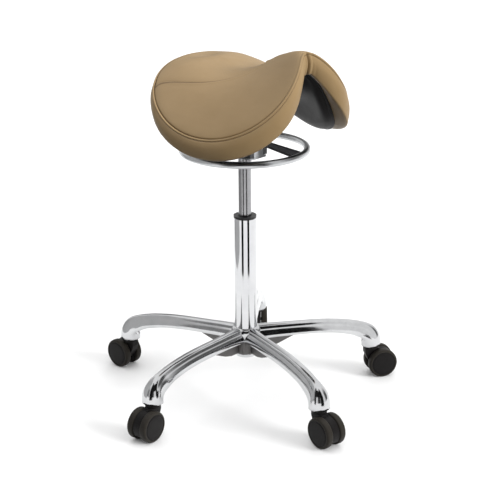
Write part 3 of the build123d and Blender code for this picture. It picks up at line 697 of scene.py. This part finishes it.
def stitch(at, direction, outward, length=2.3, radius=0.42, sink=0.15):
    """One short thread, thick in the middle, that dips into the leather at both ends."""
    direction = Vector(direction).normalized()
    outward = Vector(outward).normalized()
    across = direction.cross(outward).normalized()
    outward = across.cross(direction).normalized()
    parts = []
    for share, thick, rise in THREAD_SHAPE:
        middle = Vector(at) + direction * (share * length) + outward * (rise * radius - sink)
        for step in range(THREAD_SIDES):
            turn = 2 * pi * step / THREAD_SIDES
            parts.append((middle + (across * cos(turn) + outward * sin(turn)) * radius * thick) * MM)
    faces = sheet_faces(len(THREAD_SHAPE), THREAD_SIDES, closed_columns=True)
    faces += [tuple(range(THREAD_SIDES))[::-1], tuple(range(len(parts) - THREAD_SIDES, len(parts)))]
    return parts, faces


STITCH_PITCH = 3.5
THREAD_SIDES = 6
# along the thread: share of its length, then thickness and rise as shares of its radius
THREAD_SHAPE = ((-0.5, 0.35, -0.5), (-0.32, 0.9, 0.1), (0.0, 1.0, 0.35), (0.32, 0.9, 0.1), (0.5, 0.35, -0.5))
stitches = []
loop = np.concatenate([mirrored(stitch_line), stitch_line[:1]])
out_line = np.stack([out_x, out_y, np.zeros(len(out_x))], -1)
out_loop = np.concatenate([mirrored(out_line), out_line[:1]])
loop_lengths = run_lengths(loop)
UPWARD = np.array([0.0, 0.0, 1.0])
for number, (at, direction) in enumerate(walk(loop, STITCH_PITCH, loop_lengths[-1] - 2.0)):
    outward = on_line(out_loop, loop_lengths, number * STITCH_PITCH) + 0.45 * UPWARD
    outward = outward / np.linalg.norm(outward)
    stitches.append(stitch(at - outward * 0.55, direction, outward))
for side_sign in (MIRROR**2, MIRROR):
    panel_line = grid[seam_row + 4, WELT::-1] * side_sign
    for at, direction in walk(panel_line, STITCH_PITCH, seam_length - 12.0, start=8.0):
        stitches.append(stitch(at + 0.35 * UPWARD, direction, UPWARD))
settle(joined("saddle_stitching", stitches), "seat", THREAD, "leather")

# ---------------------------------------------------------------- moulded shell under the saddle
SHELL_GAP = 1.2
SHELL_T = 4.0
SHELL_RIM = 20.0
SHELL_SHARE = 0.88
# the rolled rim: distance inside the outline, height above the band's lower edge
LIP = (
    (31.6, 5.5), (30.5, 3.0), (30.4, 0.6), (31.0, -1.0), (32.4, -2.2), (34.4, -2.5), (36.2, -2.0),
    (37.4, -1.2),
)


def shell_top(share):
    return pad_depth(angles, share) + SHELL_GAP


def shell_drop(share):
    return shell_top(share) + SHELL_T + SHELL_RIM * (share / SHELL_SHARE) ** 3


shell_columns = [beneath(33.0, 7.5, inward, shell_top) for inward in np.linspace(1, 0, 16)]
shell_columns += [under_point(inset, lift) for inset, lift in LIP]
shell_columns += [beneath(39.0, -0.9, inward, shell_drop) for inward in spread(160, 3.0, 7.0)]
shell_skin = mirrored(np.stack(shell_columns, 1))
shell_faces = sheet_faces(len(shell_skin), shell_skin.shape[1], closed_rows=True)
shell = joined("under_shell", [(shell_skin.reshape(-1, 3) * MM, shell_faces)])
settle(shell, "seat", SHELL, "shell", "seat_shell")
BOSS = ((0.0, 672), (8.2, 672), (9.0, 672.8), (9.0, 698), (0.0, 698))  # radius, height
BOSS_X, BOSS_Y = 62, 38
boss_places = [(at_x, at_y, 0) for at_x in (-BOSS_X, BOSS_X) for at_y in (-BOSS_Y, BOSS_Y)]
bosses = [lathe(BOSS, boss_place, (0, 0, 1), 36) for boss_place in boss_places]
settle(joined("shell_bosses", bosses), "seat", SHELL, "shell")

# ---------------------------------------------------------------- star base
# half of a leg's section: sideways in millimetres, height as a share of the leg's half height
CROWN = (
    (0, 1.0), (4.5, 0.96), (8.2, 0.80), (9.6, 0.60), (9.9, 0.45), (10.9, 0.36),
    (13.2, 0.18), (15.4, -0.18), (16.8, -0.60), (17.0, -0.84), (15.8, -0.98), (13.5, -1.0),
)
CHANNEL = ((11.8, -0.94), (11.0, -0.70), (9.5, -0.32), (5.0, -0.26), (0, -0.25))
LEG_PATH = (  # radius, height
    (22, 138), (55, 138.3), (90, 138), (125, 137.8), (160, 137), (195, 134.4), (225, 130), (246, 125.4),
    (262, 120), (276, 113), (287, 103.5), (292.6, 91), (294, 76.5),
)
# share of the leg, half height there
LEG_HEIGHT = ((0, 15), (0.2, 14), (0.4, 13.5), (0.6, 13.8), (0.75, 15), (0.88, 18.5), (1.0, 22.5))
ROUND_FROM = 0.80  # share of the leg where its section starts to turn into the cup's circle
ROUND_OVER = 0.17
ROOT = 0.16  # share of the leg over which it widens towards the hub
ROOT_WIDER = 0.12
LEG_STEP = 72
LEG_ANGLES = [FIRST_LEG + LEG_STEP * leg for leg in range(5)]


def spline(knots, count):
    """Evenly spaced points of a smooth curve through knots (uniform Catmull-Rom)."""
    knots = np.array(knots, float)
    padded = np.concatenate([[2 * knots[0] - knots[1]], knots, [2 * knots[-1] - knots[-2]]])
    curve = []
    for k in range(1, len(padded) - 2):
        p0, p1, p2, p3 = padded[k - 1 : k + 3]
        for t in np.linspace(0, 1, 24, endpoint=False):
            square, cube = 2 * p0 - 5 * p1 + 4 * p2 - p3, 3 * p1 - p0 - 3 * p2 + p3
            curve.append(0.5 * (2 * p1 + (p2 - p0) * t + square * t**2 + cube * t**3))
    curve = np.array(curve + [knots[-1]])
    lengths = run_lengths(curve)
    even = np.linspace(0, lengths[-1], count)
    return np.stack([np.interp(even, lengths, curve[:, axis]) for axis in range(curve.shape[1])], -1)


def leg_rings(count=64):
    """Cross-sections of a leg, as rings of (radius, sideways, height)."""
    path = spline(LEG_PATH, count)
    tangents = np.gradient(path, axis=0)
    tangents /= np.linalg.norm(tangents, axis=1, keepdims=True)
    half = np.concatenate([spline(CROWN, 34), spline(CHANNEL, 12)])
    rings = []
    for k in range(count):
        share = k / (count - 1)
        tall = np.interp(share, [a for a, _ in LEG_HEIGHT], [b for _, b in LEG_HEIGHT])
        round_share = np.clip((share - ROUND_FROM) / ROUND_OVER, 0, 1)
        round_share = round_share**2 * (3 - 2 * round_share)
        wide = 1.0 + ROOT_WIDER * np.clip((ROOT - share) / ROOT, 0, 1)
        turn = np.linspace(pi / 2, -pi / 2, len(half))
        circle = np.stack([CUP_R * np.cos(turn), CUP_R * np.sin(turn)], -1)
        section = np.stack([half[:, 0] * wide, half[:, 1] * tall], -1)
        section = section * (1 - round_share) + circle * round_share
        section = np.concatenate([section, section[-2:0:-1] * np.array([-1.0, 1.0])])
        up = np.array([-tangents[k, 1], tangents[k, 0]])
        flat = path[k] + section[:, 1:2] * up
        rings.append(np.stack([flat[:, 0], section[:, 0], flat[:, 1]], -1))
    return np.array(rings)


rings = leg_rings()
ring_size = rings.shape[1]
leg_faces = sheet_faces(len(rings), ring_size, closed_columns=True)
leg_size = len(rings) * ring_size
leg_faces += [tuple(range(ring_size))[::-1], tuple(range(leg_size - ring_size, leg_size))]
leg_parts = []
for angle in LEG_ANGLES:
    put = upright(angle)
    leg_points = [put(radius, height, side) * MM for radius, side, height in rings.reshape(-1, 3)]
    leg_parts.append((leg_points, leg_faces))
settle(joined("base_legs", leg_parts), "base", POLISHED, "polished_aluminium", "star_base")

ORIGIN, UP = (0, 0, 0), (0, 0, 1)
HUB_TURNED = (  # name, material, segments, profile as (radius, height)
    ("hub_skirt", CAST, 72, ((22.9, 91), (26.6, 91), (27.4, 94), (28.4, 108), (29.4, 124))),
    ("hub_collar", POLISHED, 120,
     ((29.4, 124), (31.5, 132), (32.6, 141), (32.2, 146), (30.4, 150), (27.6, 152.8), (25.2, 153.6))),
    ("hub_foot", POLISHED, 96,
     ((22.9, 90), (26.8, 90), (27.7, 90.8), (27.9, 92.6), (27.4, 94.2), (26.4, 94.6))),
)
for name, material, segments, turned in HUB_TURNED:
    settle(joined(name, [lathe(turned, ORIGIN, UP, segments)]), "base", material, "polished_aluminium")

RIBS = 20
FIRST_RIB = 5
RIB = ((26, 94), (28.8, 94), (30.0, 98), (31.2, 118), (29, 123), (26, 123))  # radius, height
RIB_HALF = 1.3  # half its width
GUSSET = ((26, 95), (52, 96), (72, 101.5), (98, 113.5), (122, 124), (150, 128.5), (150, 133), (26, 133))
GUSSET_HALF = 3.6
rib_parts = [prism(RIB, RIB_HALF, upright(360 / RIBS * step + FIRST_RIB)) for step in range(RIBS)]
gusset_parts = [prism(GUSSET, GUSSET_HALF, upright(angle)) for angle in LEG_ANGLES]
settle(bevelled(joined("hub_ribs", rib_parts, False), 0.0007), "base", CAST, "polished_aluminium")
settle(bevelled(joined("leg_gussets", gusset_parts, False), 0.0012), "base", CAST, "polished_aluminium")

# ---------------------------------------------------------------- raised rims on the ring's spokes
SPOKE_OUTLINE = ((52, 11.5), (120, 17.5), (120, -17.5), (52, -11.5))  # radius, sideways
RIM_WIDE = 2.6
RIM_HIGH = 0.9
RIM_SUNK = 1.0
BAR_FACES = [(3, 2, 1, 0), (4, 5, 6, 7), (0, 1, 5, 4), (1, 2, 6, 5), (2, 3, 7, 6), (3, 0, 4, 7)]
relief_parts = []
for spoke in range(3):
    put = upright(FIRST_SPOKE + 120 * spoke)
    for k in range(4):
        (r1, s1), (r2, s2) = SPOKE_OUTLINE[k], SPOKE_OUTLINE[(k + 1) % 4]
        run = Vector((r2 - r1, s2 - s1)).normalized() * (RIM_WIDE / 2)
        turned = Vector((-run.y, run.x))
        first, last = Vector((r1, s1)) - run, Vector((r2, s2)) + run
        corners = (first + turned, last + turned, last - turned, first - turned)
        bar = []
        for lift in (-RIM_SUNK, RIM_HIGH):
            for r, s in corners:
                bar.append(put(r, SPOKE_TOP - (r - SPOKE_ROOT) * SPOKE_FALL + lift, s) * MM)
        relief_parts.append((bar, BAR_FACES))
settle(bevelled(joined("spoke_rims", relief_parts, False), 0.0003, 2), "ring", DARK, "dark_metal")

# ---------------------------------------------------------------- castors
# wheel profiles: radius, distance outwards from the wheel's inner face
TYRE = (
    (CORE_R, 0.0), (WHEEL_R - 3.0, 0.0), (WHEEL_R - 1.2, 0.5), (WHEEL_R - 0.3, 1.8), (WHEEL_R, 3.6),
    (WHEEL_R, 10.2), (WHEEL_R - 0.4, 12.4), (WHEEL_R - 1.6, 14.1), (WHEEL_R - 3.4, 15.0),
    (CORE_R + 0.3, 15.2), (CORE_R, 14.9),
)
CAP = (
    (4.2, 1.2), (9.0, 1.2), (9.0, 9.0), (23.5, 9.0), (24.3, 8.2), (24.3, 0.4), (25.0, 0.0), (CORE_R, 0.0),
    (CORE_R, 14.6), (CORE_R - 0.6, 14.9), (CORE_R - 1.6, 14.2), (CORE_R - 2.2, 14.3), (CORE_R - 2.8, 15.1),
    (CORE_R - 4, 15.3), (12.0, 15.5), (0.0, 15.5),
)
NECK = ((5.56, 56), (5.56, 75.5), (14.6, 75.5), (16.0, 74.2), (16.2, 70.0), (16.0, 67.6))  # radius, height
# the hood's side outline: distance along the trail, height; its arc joins the two runs
HOOD_R = 31.0
HOOD_ARC = range(96, -35, -5)  # degrees
HOOD_TOP = [(-15.8, 68.6), (14.0, 68.6), (20.0, 65.5)]
HOOD_FOOT = [(44.0, 17.0), (16.0, 17.0), (2.0, 26.0), (-9.0, 42.0), (-15.8, 58.0)]
HOOD_GAP = 0.7  # between the hood's side and a wheel


def castor(number):
    """One castor: hood and neck turn with it, and each wheel has its tread and cap."""
    angle = LEG_ANGLES[number - 1]
    heading = angle + TRAIL_TURNS[number - 1]
    pivot, trail, sideways = polar(CASTOR_CIRCLE_R, angle), polar(1, heading), polar(1, heading - 90)
    hub = pivot + trail * TRAIL + Vector((0, 0, WHEEL_R))

    def place(back, height, side):
        return pivot + trail * back + sideways * side + Vector((0, 0, height))

    arc = []
    for degrees in HOOD_ARC:
        arc.append((TRAIL + HOOD_R * cos(radians(degrees)), WHEEL_R + HOOD_R * sin(radians(degrees))))
    sides = prism(HOOD_TOP + arc + HOOD_FOOT, WHEEL_INNER - HOOD_GAP, place)
    hood = joined(f"castor_hood_{number}", [sides], False)
    settle(bevelled(hood, 0.0016), f"castor_{number}", NYLON, "castor_black", f"castor_body_{number}")
    neck = joined(f"castor_neck_{number}", [lathe(NECK, pivot, UP, 48)])
    settle(neck, f"castor_{number}", NYLON, "castor_black")
    for letter, sign in (("a", 1), ("b", -1)):
        start = hub + sideways * (sign * WHEEL_INNER)
        body_name = f"wheel_{number}{letter}"
        tyre = joined(f"tread_{number}{letter}", [lathe(TYRE, start, sideways * sign, 96)])
        settle(tyre, body_name, TREAD, "tread", f"tyre_{number}{letter}")
        cap = joined(f"wheel_cap_{number}{letter}", [lathe(CAP, start, sideways * sign, 72)])
        settle(cap, body_name, NYLON, "castor_black", f"wheel_core_{number}{letter}")


for number in range(1, 6):
    castor(number)

# ---------------------------------------------------------------- stage, light and camera
FLOOR = 30.0  # metres from the middle to each edge
corners = [(-FLOOR, -FLOOR, 0), (FLOOR, -FLOOR, 0), (FLOOR, FLOOR, 0), (-FLOOR, FLOOR, 0)]
floor = new_piece("floor", corners, [(0, 1, 2, 3)])
paint = Nodes("pale_floor")
pale = paint.ramp(paint.noise(3.0), (0.86, 0.86, 0.86, 1), (0.9, 0.9, 0.9, 1))
paint.join(pale, paint.shader.inputs["Base Color"])
floor.data.materials.append(paint.finish(Roughness=0.7))
floor.visible_diffuse = False  # nothing bounces up under the seat

world = bpy.data.worlds.new("studio")
bpy.context.scene.world = world
world.use_nodes = True
sky = world.node_tree


def sky_node(kind, **values):
    node = sky.nodes.new(kind)
    for key, value in values.items():
        setattr(node, key, value)
    return node


def sky_rise(low, high):
    """0 below one height on the sky's sphere, 1 above another."""
    node = sky_node("ShaderNodeMapRange")
    node.inputs["From Min"].default_value = low
    node.inputs["From Max"].default_value = high
    sky.links.new(sky_height.outputs["Z"], node.inputs["Value"])
    return node.outputs["Result"]


def sky_mix(factor, first, second):
    """A colour between two, each a socket or a grey level."""
    node = sky_node("ShaderNodeMix", data_type="RGBA")
    sky.links.new(factor, node.inputs[0])
    for socket, value in ((node.inputs[6], first), (node.inputs[7], second)):
        if isinstance(value, float):
            socket.default_value = (value, value, value, 1)
        else:
            sky.links.new(value, socket)
    return node.outputs[2]


sky_direction = sky_node("ShaderNodeTexCoord").outputs["Generated"]
sky_height = sky_node("ShaderNodeSeparateXYZ")
sky.links.new(sky_direction, sky_height.inputs["Vector"])
around = sky_node("ShaderNodeTexGradient", gradient_type="RADIAL")
sky.links.new(sky_direction, around.inputs["Vector"])
bands = sky_node("ShaderNodeValToRGB")
sky.links.new(around.outputs["Fac"], bands.inputs["Fac"])
BAND_GREYS = (  # share of a turn round the sky, grey level
    (0.0, 0.9), (0.10, 0.9), (0.14, 0.25), (0.24, 0.25), (0.28, 0.9), (0.31, 0.9), (0.335, 0.05),
    (0.40, 0.05), (0.43, 0.9), (0.56, 0.95), (0.60, 0.12), (0.66, 0.12), (0.70, 0.95), (0.85, 0.95),
    (0.90, 0.15), (0.95, 0.9),
)
while len(bands.color_ramp.elements) < len(BAND_GREYS):
    bands.color_ramp.elements.new(0.5)
for element, (turn, grey) in zip(bands.color_ramp.elements, BAND_GREYS):
    element.position = turn
    element.color = (grey, grey, grey, 1)
rays = sky_node("ShaderNodeLightPath").outputs
reflected = sky_mix(sky_rise(0.45, 0.8), bands.outputs["Color"], 1.0)
softbox = sky_mix(sky_rise(0.1, 0.75), 0.03, 1.4)
seen = sky_mix(rays["Is Glossy Ray"], 1.0, reflected)
shade = sky_mix(rays["Is Diffuse Ray"], seen, softbox)
sky.links.new(shade, sky.nodes["Background"].inputs["Color"])
sky.nodes["Background"].inputs["Strength"].default_value = 1.0


def reflector(name, azimuth, distance, width, grey, foot=0.0, tall=1.3):
    """An upright card that only mirror-like surfaces see."""
    middle, sideways = polar(distance, azimuth, foot), polar(width / 2, azimuth + 90)
    up = Vector((0, 0, tall))
    left, right = middle - sideways, middle + sideways
    card = new_piece(name, [left, right, right + up, left + up], [(0, 1, 2, 3)])
    matt = Nodes(name).finish(Base_Color=(grey, grey, grey, 1), Roughness=1.0, Specular_IOR_Level=0.0)
    card.data.materials.append(matt)
    card.visible_camera = False
    card.visible_diffuse = False
    card.visible_shadow = False


reflector("dark_card_right", -15, 0.75, 0.26, 0.01)
reflector("dark_card_left", -73, 0.75, 0.26, 0.01)
reflector("dark_card_middle", -44, 0.80, 0.8, 0.02, foot=0.36, tall=0.7)
reflector("grey_card", -138, 0.80, 1.1, 0.42)


def place_light(light, place, target):
    lamp = bpy.data.objects.new(light.name, light)
    bpy.context.scene.collection.objects.link(lamp)
    lamp.location = place
    lamp.rotation_euler = (Vector(target) - Vector(place)).to_track_quat("-Z", "Y").to_euler()
    lamp.visible_glossy = False  # the metal mirrors the sky and the cards only


def area_light(name, place, target, size, power):
    light = bpy.data.lights.new(name, "AREA")
    light.shape = "RECTANGLE"
    light.size, light.size_y = size
    light.energy = power
    place_light(light, place, target)


key = bpy.data.lights.new("key", "SUN")
key.energy = 3.2
key.angle = radians(28)
place_light(key, (2.2, 0.7, 1.35), (0, 0, 0.5))
area_light("rim", (-1.5, 1.8, 2.0), (0, 0, 0.6), (1.2, 1.2), 10)

CAMERA_PLACE = (1.694, -1.804, 1.219)
CAMERA_YAW = 43.2 - 0.24
CAMERA_PITCH = 19.75
CAMERA_ROLL = -0.40
CAMERA_LENS = 86.9
camera = bpy.data.cameras.new("camera")
camera.lens = CAMERA_LENS
camera.sensor_width = 36
view = bpy.data.objects.new("camera", camera)
bpy.context.scene.collection.objects.link(view)
view.matrix_world = (
    Matrix.Translation(CAMERA_PLACE)
    @ Matrix.Rotation(radians(CAMERA_YAW), 4, "Z")
    @ Matrix.Rotation(radians(90 - CAMERA_PITCH), 4, "X")
    @ Matrix.Rotation(radians(CAMERA_ROLL), 4, "Z")
)
bpy.context.scene.camera = view
bpy.context.scene.view_settings.view_transform = "Standard"
